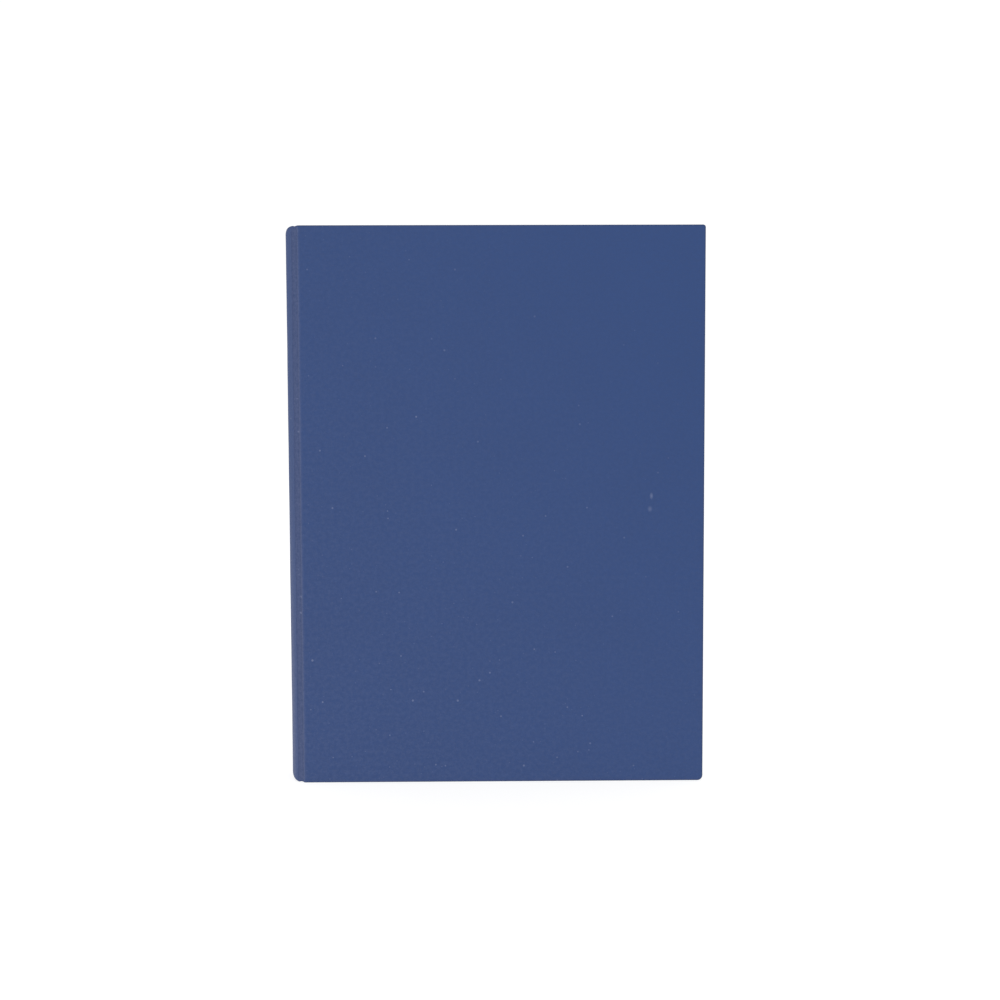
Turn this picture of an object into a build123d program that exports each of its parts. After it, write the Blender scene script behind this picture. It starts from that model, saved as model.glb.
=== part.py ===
"""Pilot logbook: a sewn, case-bound book with a rounded back, standing upright on its tail edges.

Frame: +Z runs up the book's height, -Y is the way the front cover faces, and the spine is on the -X side.
The origin is under the middle of the closed book, on the surface that it stands on.
Each piece is first laid out with x = 0 at the spine-side edge of the covers, then moved to that origin.
Whatever has a front and a back twin is drawn on the +Y side, and mirrored for the front.
"""
from build123d import *
import math
import os

# ---- driving sizes, in millimetres ----
LEAF_HEIGHT = 203.0
LEAF_WIDTH = 149.0
SECTION_COUNT = 12          # an even number: half of them open with each cover
SECTION_THICKNESS = 1.10
SECTION_GAP = 0.05          # air between two sections
SQUARE = 3.0                # how far the boards stand out past the leaves
BOARD_THICKNESS = 2.4
CLOTH_THICKNESS = 0.35
ENDPAPER_THICKNESS = 0.2
TURN_IN = 15.0              # width of cloth folded over onto the inside
COVER_EDGE_RADIUS = 0.6
HEAD_CORNER_RADIUS = 1.0
TAIL_CORNER_RADIUS = 2.0
GLUE = 0.02                 # a glue line between two pieces that are stuck together

JOINT_WIDTH = 2.6           # cloth between the shoulder of the spine and the edge of the cover
JOINT_LIP = 1.3             # how far the cloth turns down the spine-side edge of the board
JOINT_END = 1.0             # the joint cloth stops this far short of head and tail
JOINT_DIP = 0.25            # how far the joint cloth sags below a straight line
SHOULDER_DROP = 1.25        # how much lower the shoulder of the spine is than the face of the cover
SPINE_BULGE = 3.1           # how far the rounded spine stands out past its shoulders
SPINE_CAP_RADIUS = 3.0      # rounding of the head and tail of the spine, seen from the front
INLAY_THICKNESS = 0.86
INLAY_EDGE = 0.4            # cloth past each long edge of the spine inlay

FOLD_TO_INLAY = 1.25        # from the folds of the leaves to the inside of the spine inlay
FOLD_RADIUS = 0.5
THREAD_THICKNESS = 0.32
THREAD_WIDTH = 0.6
THREAD_STATIONS = 5
THREAD_END_MARGIN = 22.0    # from head or tail of the leaves to the nearest stitch
MULL_THICKNESS = 0.25
MULL_END_MARGIN = 15.0
MULL_FLANGE = 22.0
LINING_THICKNESS = 0.2
LINING_END_MARGIN = 18.0
HEADBAND_BEAD = 1.6
HEADBAND_TAPE = 0.25
HEADBAND_TAPE_HEIGHT = 12.0

LEAF_HINGE = 3.0            # from the cover's edge to where the outermost section bends
HINGE_GAP = 0.05            # slit at each bend between the glued back and the free leaves
PIVOT_CLEARANCE = 0.2       # a cover folded right back clears the shoulder of the spine by this

# ---- what follows from them ----
SECTION_PITCH = SECTION_THICKNESS + SECTION_GAP
HALF_COUNT = SECTION_COUNT // 2
BLOCK_HALF = HALF_COUNT * SECTION_PITCH

FLY_INNER = BLOCK_HALF + SECTION_GAP
FLY_OUTER = FLY_INNER + ENDPAPER_THICKNESS
PASTE_INNER = FLY_OUTER + SECTION_GAP
COVER_INNER = PASTE_INNER + ENDPAPER_THICKNESS
BOARD_OUTER = COVER_INNER + BOARD_THICKNESS
COVER_OUTER = BOARD_OUTER + CLOTH_THICKNESS

BOOK_HEIGHT = LEAF_HEIGHT + 2 * SQUARE
LEAF_TAIL = SQUARE
LEAF_HEAD = SQUARE + LEAF_HEIGHT

SHOULDER_Y = COVER_OUTER - SHOULDER_DROP
SHOULDER_X = -JOINT_WIDTH
SPINE_X = SHOULDER_X - SPINE_BULGE
SPINE_RADIUS = (SHOULDER_Y ** 2 + SPINE_BULGE ** 2) / (2 * SPINE_BULGE)
SPINE_CENTRE_X = SPINE_X + SPINE_RADIUS
SHOULDER_ANGLE = math.atan2(SHOULDER_Y, SPINE_CENTRE_X - SHOULDER_X)
INLAY_OUTER_RADIUS = SPINE_RADIUS - CLOTH_THICKNESS
INLAY_INNER_RADIUS = INLAY_OUTER_RADIUS - INLAY_THICKNESS
CAP_INNER_RADIUS = INLAY_INNER_RADIUS - CLOTH_THICKNESS
BACK_RADIUS = INLAY_INNER_RADIUS - FOLD_TO_INLAY
INLAY_ANGLE = SHOULDER_ANGLE - INLAY_EDGE / SPINE_RADIUS


def back_x(y):
    """x of the rounded back of the leaves at a distance y from the middle."""
    return SPINE_CENTRE_X - math.sqrt(BACK_RADIUS ** 2 - y ** 2)


COVER_WIDTH = back_x(BLOCK_HALF) + LEAF_WIDTH + SQUARE
X_SHIFT = -(SPINE_X + COVER_WIDTH) / 2

PIVOT_X = -JOINT_WIDTH / 2
PIVOT_Y = (COVER_OUTER + SHOULDER_Y + PIVOT_CLEARANCE) / 2


def slab(x0, x1, y0, y1, z0, z1):
    """A block between two corners."""
    return Pos((x0 + x1) / 2, (y0 + y1) / 2, (z0 + z1) / 2) * Box(x1 - x0, y1 - y0, z1 - z0)


def panel(inset, y0, y1):
    """A cover-shaped block, taken in by inset, with its fore-edge corners rounded."""
    block = slab(inset, COVER_WIDTH - inset, y0, y1, inset, BOOK_HEIGHT - inset)
    fore = block.edges().filter_by(Axis.Y).group_by(Axis.X)[-1].sort_by(Axis.Z)
    block = fillet(fore[-1], HEAD_CORNER_RADIUS - inset)
    tail = block.edges().filter_by(Axis.Y).sort_by(lambda e: e.center().X - e.center().Z)[-1]
    return fillet(tail, TAIL_CORNER_RADIUS - inset)


def arc_band(r_in, r_out, half_angle, z0, z1):
    """Part of a tube about the spine's centre line, cut off radially each side of the middle."""
    reach = 2 * r_out
    side = reach * math.tan(half_angle)
    wedge = make_face(Polyline((0, 0), (-reach, side), (-reach, -side), close=True))
    band = (Circle(r_out) - Circle(r_in)) & wedge
    return Pos(SPINE_CENTRE_X, 0, z0) * extrude(band, z1 - z0)


def angle_at(half_y, radius):
    """Half-angle at which a circle about the spine's centre line stands half_y from the middle."""
    return math.asin(half_y / radius)


def cap_outline(inset):
    """The book's outline from the front at the spine, with its head and tail rounded, as a thick plate."""
    reach = SPINE_RADIUS
    plate = slab(SPINE_X + inset, SPINE_X + reach, -reach, reach, inset, BOOK_HEIGHT - inset)
    corners = plate.edges().filter_by(Axis.Y).group_by(Axis.X)[0]
    return fillet(corners, SPINE_CAP_RADIUS - inset)


# ---- the case: boards, spine inlay and the cloth over them ----
def cover_cloth():
    """Cloth over one board: outside, three edges, turn-ins, and the lip that starts the joint."""
    body = panel(0, COVER_INNER, COVER_OUTER)
    rim = body.edges().group_by(Axis.Y)[-1]
    body = fillet(rim, COVER_EDGE_RADIUS)
    hollow = panel(CLOTH_THICKNESS, COVER_INNER + CLOTH_THICKNESS, BOARD_OUTER)
    opening = slab(-1, COVER_WIDTH - TURN_IN, COVER_INNER - 1, COVER_INNER + CLOTH_THICKNESS,
                   TURN_IN, BOOK_HEIGHT - TURN_IN)
    joint_side = slab(-1, CLOTH_THICKNESS, COVER_INNER - 1, COVER_OUTER - JOINT_LIP, -1, BOOK_HEIGHT + 1)
    return body - hollow - opening - joint_side


def board():
    """Grey board, pressed in where the turn-ins and the flange of the mull lie on it."""
    inset = CLOTH_THICKNESS + GLUE
    body = panel(inset, COVER_INNER + GLUE, BOARD_OUTER - GLUE)
    step = COVER_INNER + CLOTH_THICKNESS + GLUE
    edge = TURN_IN + GLUE
    middle = slab(0, COVER_WIDTH - edge, COVER_INNER, step, edge, BOOK_HEIGHT - edge)
    rebate = slab(0, COVER_WIDTH, COVER_INNER - 1, step, 0, BOOK_HEIGHT) - middle
    flange = slab(0, MULL_FLANGE + GLUE, COVER_INNER - 1, COVER_INNER + MULL_THICKNESS + 2 * GLUE,
                  LEAF_TAIL + MULL_END_MARGIN - GLUE, LEAF_HEAD - MULL_END_MARGIN + GLUE)
    return body - rebate - flange


def mull_flange():
    """The gauze that runs on from the back of the book, glued down inside the cover."""
    inset = CLOTH_THICKNESS + GLUE
    return slab(inset, MULL_FLANGE, COVER_INNER + GLUE, COVER_INNER + GLUE + MULL_THICKNESS,
                LEAF_TAIL + MULL_END_MARGIN, LEAF_HEAD - MULL_END_MARGIN)


def pastedown():
    """Endpaper glued to the inside of the cover, over the turn-ins."""
    return slab(CLOTH_THICKNESS, COVER_WIDTH - SQUARE, PASTE_INNER, COVER_INNER - GLUE / 2, LEAF_TAIL, LEAF_HEAD)


def joint_cloth():
    """The strip of cloth that bends as a cover opens, between the shoulder and the cover's edge."""
    start = (SHOULDER_X + GLUE, SHOULDER_Y)
    end = (CLOTH_THICKNESS - GLUE, COVER_OUTER - JOINT_LIP - GLUE)
    dip = ((start[0] + end[0]) / 2, (start[1] + end[1]) / 2 - JOINT_DIP)
    start_in = (start[0] + CLOTH_THICKNESS * math.cos(SHOULDER_ANGLE),
                start[1] - CLOTH_THICKNESS * math.sin(SHOULDER_ANGLE))
    end_in = (end[0], end[1] - CLOTH_THICKNESS)
    dip_in = (dip[0], dip[1] - CLOTH_THICKNESS)
    outline = (ThreePointArc(start, dip, end) + Line(end, end_in)
               + ThreePointArc(end_in, dip_in, start_in) + Line(start_in, start))
    return Pos(0, 0, JOINT_END) * extrude(make_face(outline), BOOK_HEIGHT - 2 * JOINT_END)


def spine_inlay():
    """The card that stiffens the spine of the case."""
    inset = CLOTH_THICKNESS + GLUE
    band = arc_band(INLAY_INNER_RADIUS + GLUE, INLAY_OUTER_RADIUS - GLUE,
                    INLAY_ANGLE - GLUE / INLAY_INNER_RADIUS, inset, BOOK_HEIGHT - inset)
    return band & cap_outline(inset)


def spine_cloth():
    """Cloth over the spine inlay, turned in at head and tail."""
    body = arc_band(CAP_INNER_RADIUS, SPINE_RADIUS, SHOULDER_ANGLE, 0, BOOK_HEIGHT) & cap_outline(0)
    inlay_room = arc_band(INLAY_INNER_RADIUS, INLAY_OUTER_RADIUS, INLAY_ANGLE,
                          CLOTH_THICKNESS, BOOK_HEIGHT - CLOTH_THICKNESS) & cap_outline(CLOTH_THICKNESS)
    bare = arc_band(CAP_INNER_RADIUS - 1, INLAY_INNER_RADIUS, SHOULDER_ANGLE + INLAY_ANGLE / 4,
                    TURN_IN, BOOK_HEIGHT - TURN_IN)
    return body - inlay_room - bare


# ---- the book block: sections, thread, linings and headbands ----
def section_face(index):
    """y of a section's face nearer its own cover; index 1 is next to the cover."""
    return BLOCK_HALF - (index - 1) * SECTION_PITCH


def section_hinge_x(index):
    """Where a section bends: each is one pitch further in than the one outside it."""
    return LEAF_HINGE + (index - 1) * SECTION_PITCH


def section_back(index):
    """The folded and glued back of a section."""
    face = section_face(index)
    fold = back_x(face)
    block = slab(fold, section_hinge_x(index), face - SECTION_THICKNESS, face, LEAF_TAIL, LEAF_HEAD)
    folds = block.edges().filter_by(Axis.Z).group_by(Axis.X)[0]
    return fillet(folds, FOLD_RADIUS)


def section_leaves(index):
    """The leaves of a section, free to turn."""
    face = section_face(index)
    fore_edge = back_x(face) + LEAF_WIDTH
    return slab(section_hinge_x(index) + HINGE_GAP, fore_edge, face - SECTION_THICKNESS, face,
                LEAF_TAIL, LEAF_HEAD)


def fly_hinge_x():
    """Where the flyleaf bends, one pitch nearer the cover's edge than the outermost section."""
    return LEAF_HINGE - SECTION_PITCH


def flyleaf():
    """Free endpaper."""
    return slab(fly_hinge_x() + HINGE_GAP, back_x(BLOCK_HALF) + LEAF_WIDTH, FLY_INNER, FLY_OUTER,
                LEAF_TAIL, LEAF_HEAD)


def flyleaf_guard():
    """The glued edge of the endpaper, stuck to the outermost section."""
    return slab(back_x(BLOCK_HALF) + FOLD_RADIUS, fly_hinge_x(), FLY_INNER - SECTION_GAP + GLUE / 2, FLY_OUTER,
                LEAF_TAIL, LEAF_HEAD)


def sewing_thread():
    """Loops of thread that tie each section to the next, at each sewing station."""
    r_in = BACK_RADIUS + GLUE
    low = LEAF_TAIL + THREAD_END_MARGIN
    step = (LEAF_HEIGHT - 2 * THREAD_END_MARGIN) / (THREAD_STATIONS - 1)
    half_angle = angle_at(BLOCK_HALF - SECTION_THICKNESS / 2, r_in)
    loops = [arc_band(r_in, r_in + THREAD_THICKNESS, half_angle,
                      low + n * step - THREAD_WIDTH / 2, low + n * step + THREAD_WIDTH / 2)
             for n in range(THREAD_STATIONS)]
    return Compound(children=loops)


def mull():
    """Starched gauze glued over the backs of the sections and the thread."""
    r_in = BACK_RADIUS + THREAD_THICKNESS + 2 * GLUE
    return arc_band(r_in, r_in + MULL_THICKNESS, angle_at(BLOCK_HALF, r_in), LEAF_TAIL + MULL_END_MARGIN,
                    LEAF_HEAD - MULL_END_MARGIN)


def spine_lining():
    """Kraft paper glued over the mull."""
    r_in = BACK_RADIUS + THREAD_THICKNESS + MULL_THICKNESS + 3 * GLUE
    return arc_band(r_in, r_in + LINING_THICKNESS, angle_at(BLOCK_HALF - SECTION_THICKNESS, r_in),
                    LEAF_TAIL + LINING_END_MARGIN, LEAF_HEAD - LINING_END_MARGIN)


def headband(at_head):
    """A woven bead across the end of the back, on a tape glued to the folds."""
    bead_r = HEADBAND_BEAD / 2
    half_y = BLOCK_HALF - SECTION_THICKNESS / 2
    centre_r = BACK_RADIUS + GLUE + HEADBAND_TAPE - bead_r
    ring = Pos(SPINE_CENTRE_X, 0, LEAF_HEAD + bead_r) * Torus(centre_r, bead_r)
    keep = slab(SPINE_X, SPINE_CENTRE_X / 2, -half_y, half_y, LEAF_HEAD - 1, LEAF_HEAD + HEADBAND_BEAD + 1)
    r_in = BACK_RADIUS + GLUE
    tape = arc_band(r_in, r_in + HEADBAND_TAPE, angle_at(half_y, r_in), LEAF_HEAD - HEADBAND_TAPE_HEIGHT,
                    LEAF_HEAD + bead_r)
    band = (ring & keep) + tape
    return band if at_head else band.mirror(Plane.XY).moved(Pos(0, 0, BOOK_HEIGHT))


# ---- naming, placing and writing ----
def save(name, shape):
    """Writes one piece, moved from the layout's x to the book's origin."""
    export_step(shape.moved(Pos(X_SHIFT, 0, 0)), f"parts/{name}.step")


def save_pair(name, shape):
    """Writes a piece's back twin as drawn and its front twin mirrored."""
    save(f"back_{name}", shape)
    save(f"front_{name}", shape.mirror(Plane.XZ))


def main():
    os.makedirs("parts", exist_ok=True)
    save_pair("board", board())
    save_pair("cover_cloth", cover_cloth())
    save_pair("joint_cloth", joint_cloth())
    save_pair("mull_flange", mull_flange())
    save_pair("pastedown", pastedown())
    save_pair("flyleaf", flyleaf())
    save_pair("flyleaf_guard", flyleaf_guard())
    save("spine_inlay", spine_inlay())
    save("spine_cloth", spine_cloth())
    for index in range(1, HALF_COUNT + 1):
        for kind, shape in (("back", section_back(index)), ("leaves", section_leaves(index))):
            save(f"section_{index:02d}_{kind}", shape.mirror(Plane.XZ))
            save(f"section_{SECTION_COUNT + 1 - index:02d}_{kind}", shape)
    save("sewing_thread", sewing_thread())
    save("mull", mull())
    save("spine_lining", spine_lining())
    save("headband_head", headband(True))
    save("headband_tail", headband(False))
    print("book", round(COVER_WIDTH - SPINE_X, 2), "x", round(2 * COVER_OUTER, 2), "x", BOOK_HEIGHT)
    print("cover pivot x", round(PIVOT_X + X_SHIFT, 3), "y +-", round(PIVOT_Y, 3))
    print("flyleaf pivot x", round(fly_hinge_x() + X_SHIFT, 3), "y +-", round(FLY_OUTER, 3))
    for index in range(1, HALF_COUNT + 1):
        print("section pivot", index, round(section_hinge_x(index) + X_SHIFT, 3), "y +-", round(section_face(index), 3))


main()
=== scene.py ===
"""Looks of the pilot logbook: case cloth, sewn leaves, endpapers, headbands, studio and camera.

Builders work in millimetres in the book's own frame, and the mesh is scaled to metres at the end.
Every soft piece carries its laid-out position in the attribute "laid_mm", so that its pattern stays
on it, and in "wear" how worn it is, with painted light on the joint, the hinge edge and the spine, and
painted shade on its rounded edges.
"""
import logging
import math
import random
from dataclasses import dataclass, field
from enum import Enum
from functools import lru_cache, partial
from typing import Any, Callable, Sequence

import bmesh
import bpy
import numpy as np
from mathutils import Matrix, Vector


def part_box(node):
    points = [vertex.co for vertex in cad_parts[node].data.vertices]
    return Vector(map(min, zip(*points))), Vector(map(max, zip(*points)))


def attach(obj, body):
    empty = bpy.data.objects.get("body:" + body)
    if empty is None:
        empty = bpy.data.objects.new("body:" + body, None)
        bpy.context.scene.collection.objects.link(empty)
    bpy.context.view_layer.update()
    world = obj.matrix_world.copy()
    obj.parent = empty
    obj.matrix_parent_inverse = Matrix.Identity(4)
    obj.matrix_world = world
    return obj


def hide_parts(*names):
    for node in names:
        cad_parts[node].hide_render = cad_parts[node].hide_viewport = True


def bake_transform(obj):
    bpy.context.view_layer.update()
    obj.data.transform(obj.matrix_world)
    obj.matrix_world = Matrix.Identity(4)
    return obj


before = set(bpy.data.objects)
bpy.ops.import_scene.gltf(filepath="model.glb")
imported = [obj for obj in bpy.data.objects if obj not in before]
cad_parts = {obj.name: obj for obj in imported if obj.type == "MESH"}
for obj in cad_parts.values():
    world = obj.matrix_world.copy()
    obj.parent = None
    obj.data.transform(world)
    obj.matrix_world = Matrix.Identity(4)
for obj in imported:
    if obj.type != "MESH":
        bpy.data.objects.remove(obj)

logging.basicConfig(level=logging.INFO, format="%(name)s: %(message)s")
LOG = logging.getLogger("logbook")

MM = 0.001
LAID = "laid_mm"
# the attribute carries how worn the case cloth is, with its painted light and painted shade
WEAR_AND_SHADING = "wear_and_shading"
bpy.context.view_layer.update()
# laid-out depth of the case cloth, below zero on the front: it tells the material which cover it is on
CLOTH_DEPTH_MM = 40.0
# a wave node runs through a full turn in this many units at scale 1
WAVE_TURN = math.pi / 10
SECTIONS = 12
# width of a leaf laid flat, from the fold to the fore-edge
LEAF_MM = 148.0

Point = tuple[float, float, float]
Flat = tuple[float, float]
Way = Callable[[float, float, float], tuple[Point, Flat]]


class Side(Enum):
    """Which half of the book a piece belongs to; the value is the sign of its y."""

    FRONT = -1
    BACK = 1

    @property
    def prefix(self) -> str:
        """Start of the names of this side's nodes and bodies."""
        return self.name.lower()


class End(Enum):
    """Which end of the spine a piece sits at."""

    HEAD = "head"
    TAIL = "tail"


# ---- small tools ----
def linear(hex_colour: str, alpha: float = 1.0) -> tuple[float, float, float, float]:
    """Turns an sRGB hex colour into linear values.

    Args:
        hex_colour: Colour such as "#40537E".
        alpha: Opacity.

    Returns:
        Linear red, green, blue and alpha.
    """
    parts = [int(hex_colour[i:i + 2], 16) / 255 for i in (1, 3, 5)]
    red, green, blue = (c / 12.92 if c <= 0.04045 else ((c + 0.055) / 1.055) ** 2.4 for c in parts)
    return red, green, blue, alpha


def feed(tree: bpy.types.NodeTree, node: Any, links: dict[Any, Any]) -> None:
    """Fills a node's inputs.

    Args:
        tree: Node tree that holds the node.
        node: Node to fill.
        links: Input name or number to a socket, to a node whose first output feeds it, or to a fixed value.
    """
    for key, value in links.items():
        source = value.outputs[0] if isinstance(value, bpy.types.Node) else value
        if isinstance(source, bpy.types.NodeSocket):
            tree.links.new(source, node.inputs[key])
        else:
            node.inputs[key].default_value = source


def add(tree: bpy.types.NodeTree, kind: str, links: dict[Any, Any] | None = None, **settings: Any) -> Any:
    """Adds a shader node with its settings, and fills its inputs.

    Args:
        tree: Node tree to add to.
        kind: Node type without its ShaderNode prefix.
        links: What feeds its inputs, as feed takes it.
        **settings: Properties of the node.

    Returns:
        The new node.
    """
    node = tree.nodes.new("ShaderNode" + kind)
    for name, value in settings.items():
        setattr(node, name, value)
    feed(tree, node, links or {})
    return node


def distance(tree: bpy.types.NodeTree, axis: Any, place: float) -> Any:
    """Distance of one coordinate from a straight line.

    Args:
        tree: Node tree to add to.
        axis: Socket that gives the coordinate.
        place: Where the line lies on it.

    Returns:
        Node that gives the distance.
    """
    off = add(tree, "Math", {0: axis, 1: place}, operation="SUBTRACT")
    return add(tree, "Math", {0: off}, operation="ABSOLUTE")


@lru_cache(maxsize=None)
def box_mm(node: str) -> tuple[Point, Point]:
    """Lowest and highest corner of a CAD node, in millimetres."""
    low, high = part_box(node)
    return tuple(float(v / MM) for v in low), tuple(float(v / MM) for v in high)


def ease(t: float) -> float:
    """Smooth step from 0 to 1."""
    t = min(max(t, 0.0), 1.0)
    return t * t * (3 - 2 * t)


# ---- finishes ----
@dataclass(frozen=True)
class Finish:
    """A real material: subclasses add the pattern that its making leaves."""

    name: str
    colour: str
    roughness: float = 0.7
    ior: float = 1.5
    specular: float = 0.5

    def build(self) -> bpy.types.Material:
        """Makes the material once and gives the same one afterwards.

        Returns:
            The material.
        """
        found = bpy.data.materials.get(self.name)
        if found:
            return found
        material = bpy.data.materials.new(self.name)
        material.use_nodes = True
        tree = material.node_tree
        tree.nodes.clear()
        shader = add(tree, "BsdfPrincipled", {"Roughness": self.roughness, "IOR": self.ior,
                                              "Specular IOR Level": self.specular})
        add(tree, "OutputMaterial", {"Surface": shader})
        self.pattern(tree, shader)
        return material

    def pattern(self, tree: bpy.types.NodeTree, shader: Any) -> None:
        """Adds colour variation and relief; a bare finish has only its colour."""
        feed(tree, shader, {"Base Color": linear(self.colour)})


@dataclass(frozen=True)
class BookCloth(Finish):
    """Cotton book cloth, acrylic coated and calendered: an even matt blue with a very fine grain.

    The coating fills the weave, so the eye gets a soft grain, pale dust in it, and greyed high spots.
    It also carries painted light and painted shade: a warm tint and denser specks towards the spine
    and the tail, a lighter joint and hinge edge, and darker rounded edges.
    """

    # lighter colour for rubbing, for painted light on the joint and for the painted highlight on the hinge
    # edge
    rub_and_light: str = "#7C8098"
    # painted shade on the rounded edges of the case
    painted_shade: str = "#1C2740"
    # painted warm light towards the spine and the tail
    warm_light: str = "#A48B89"
    dust: str = "#A9B1C9"
    thread_mm: float = 0.5
    # the real grain is finer; it is drawn as coarse as it needs to show
    grain_mm: float = 0.75
    fuzz_mm: float = 1.6
    cloud_mm: float = 38.0
    # strength of the painted warm light
    warm_light_share: float = 0.010
    # one layer of specks a row: spacing, share left bare, radius and strength
    specks_mm: tuple[tuple[float, float, float, float], ...] = (
        (1.7, 0.35, 0.38, 0.11), (4.2, 0.20, 0.55, 0.24), (9.0, 0.30, 0.58, 0.45))
    # one scuff a row: laid-out place, half sizes and strength
    scuffs_mm: tuple[tuple[float, float, float, float, float], ...] = ()

    def dusting(self, tree: bpy.types.NodeTree, laid: Any, thick: Any) -> Any:
        """Dust caught in the grain, larger specks, and the scuffs of the front cover.

        Args:
            tree: Node tree to add to.
            laid: Socket that gives the laid-out position.
            thick: Node that says how densely dust is drawn, denser towards the spine and the tail as painted
                light.

        Returns:
            Node that says how far dust hides the cloth.
        """
        fuzz = add(tree, "TexNoise", {"Vector": laid, "Scale": 1 / self.fuzz_mm, "Detail": 6.0,
                                      "Roughness": 0.8})
        fuzz = add(tree, "MapRange", {0: fuzz, 1: 0.42, 2: 0.68, 3: 0.0, 4: 0.05})
        dusty = add(tree, "Math", {0: fuzz, 1: thick}, operation="MULTIPLY")
        for cell, bare, radius, strength in self.specks_mm:
            voronoi = add(tree, "TexVoronoi", {"Vector": laid, "Scale": 1 / cell, "Randomness": 1.0})
            pick = add(tree, "SeparateXYZ", {0: voronoi.outputs["Color"]})
            size = add(tree, "MapRange", {0: pick, 1: bare, 2: 1.0, 3: 0.0, 4: radius / cell})
            dot = add(tree, "Math", {0: size, 1: voronoi.outputs["Distance"]}, operation="SUBTRACT")
            for factor, clamped in ((4 * cell, True), (strength, False), (thick, False)):
                dot = add(tree, "Math", {0: dot, 1: factor}, operation="MULTIPLY", use_clamp=clamped)
            dusty = add(tree, "Math", {0: dusty, 1: dot}, operation="MAXIMUM")
        for x, y, half_x, half_y, amount in self.scuffs_mm:
            shifted = add(tree, "VectorMath", {0: laid, 1: (x, y, -CLOTH_DEPTH_MM)}, operation="SUBTRACT")
            scaled = add(tree, "VectorMath", {0: shifted, 1: (1 / half_x, 1 / half_y, 0.1)},
                         operation="MULTIPLY")
            far = add(tree, "VectorMath", {0: scaled}, operation="LENGTH").outputs["Value"]
            mark = add(tree, "MapRange", {0: far, 1: 1.0, 2: 0.2, 3: 0.0, 4: amount})
            dusty = add(tree, "Math", {0: dusty, 1: mark}, operation="MAXIMUM")
        return dusty

    def pattern(self, tree: bpy.types.NodeTree, shader: Any) -> None:
        """Grain, weave, dust and rubbing, with painted light and painted shade.

        Args:
            tree: Node tree of the material.
            shader: Its shader node.
        """
        laid = add(tree, "Attribute", attribute_name=LAID).outputs["Vector"]
        wear_and_shading = add(tree, "Attribute", attribute_name=WEAR_AND_SHADING).outputs["Fac"]
        axes = add(tree, "SeparateXYZ", {0: laid})
        grain = add(tree, "TexNoise", {"Vector": laid, "Scale": 1 / self.grain_mm, "Detail": 4.0,
                                       "Roughness": 0.65})
        cloudy = add(tree, "TexNoise", {"Vector": laid, "Scale": 1 / self.cloud_mm, "Detail": 3.0})
        # rubbing and painted light show where the grain stands up; wear below 0 is painted shade on the
        # rounded edges
        rub_and_shading = add(tree, "MapRange", {0: grain, 1: 0.34, 2: 0.66, 3: 0.35, 4: 1.0})
        rub_and_shading = add(tree, "Math", {0: rub_and_shading, 1: wear_and_shading}, operation="MULTIPLY", use_clamp=True)
        dark = add(tree, "Math", {0: wear_and_shading, 1: -1.0}, operation="MULTIPLY", use_clamp=True)
        # painted light from the lower left: a warm tint and denser dust specks towards the spine and the tail
        # of each cover
        towards = add(tree, "MapRange", {0: axes.outputs["X"], 1: 160.0, 2: 0.0})
        lower = add(tree, "MapRange", {0: axes.outputs["Y"], 1: 200.0, 2: 0.0})
        both = add(tree, "Math", {0: towards, 1: lower}, operation="ADD")
        warm_light_share = add(tree, "Math", {0: both, 1: self.warm_light_share}, operation="MULTIPLY")
        thick = add(tree, "MapRange", {0: both, 1: 0.3, 2: 1.8, 3: 0.12, 4: 1.0})
        dusty = self.dusting(tree, laid, thick)
        even = add(tree, "MapRange", {0: cloudy, 1: 0.3, 2: 0.7, 3: 0.985, 4: 1.015})
        fine = add(tree, "MapRange", {0: grain, 1: 0.3, 2: 0.7, 3: 0.94, 4: 1.06})
        tone = add(tree, "Math", {0: even, 1: fine}, operation="MULTIPLY")
        colour = add(tree, "VectorMath", {0: linear(self.colour)[:3], "Scale": tone}, operation="SCALE")
        # mixes in rubbing with painted light, painted shade, a painted warm tint, and dust
        for share, other in ((rub_and_shading, self.rub_and_light), (dark, self.painted_shade), (warm_light_share, self.warm_light), (dusty, self.dust)):
            colour = add(tree, "Mix", {"Factor": share, 6: colour, 7: linear(other)},
                         data_type="RGBA").outputs[2]
        rough = add(tree, "MapRange", {0: grain, 1: 0.3, 2: 0.7, 3: self.roughness - 0.05,
                                       4: self.roughness + 0.05})
        pitch = WAVE_TURN / self.thread_mm
        warp, weft = (add(tree, "TexWave", {"Vector": laid, "Scale": pitch, "Distortion": 0.6,
                                            "Detail Scale": 0.3}, bands_direction=d).outputs["Fac"]
                      for d in ("X", "Y"))
        weave = add(tree, "Math", {0: warp, 1: weft}, operation="MULTIPLY")
        relief = add(tree, "Math", {0: weave, 1: 0.35, 2: grain}, operation="MULTIPLY_ADD")
        bump = add(tree, "Bump", {"Height": relief, "Strength": 0.35, "Distance": 0.06 * MM})
        feed(tree, shader, {"Base Color": colour, "Roughness": rough, "Normal": bump})


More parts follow.
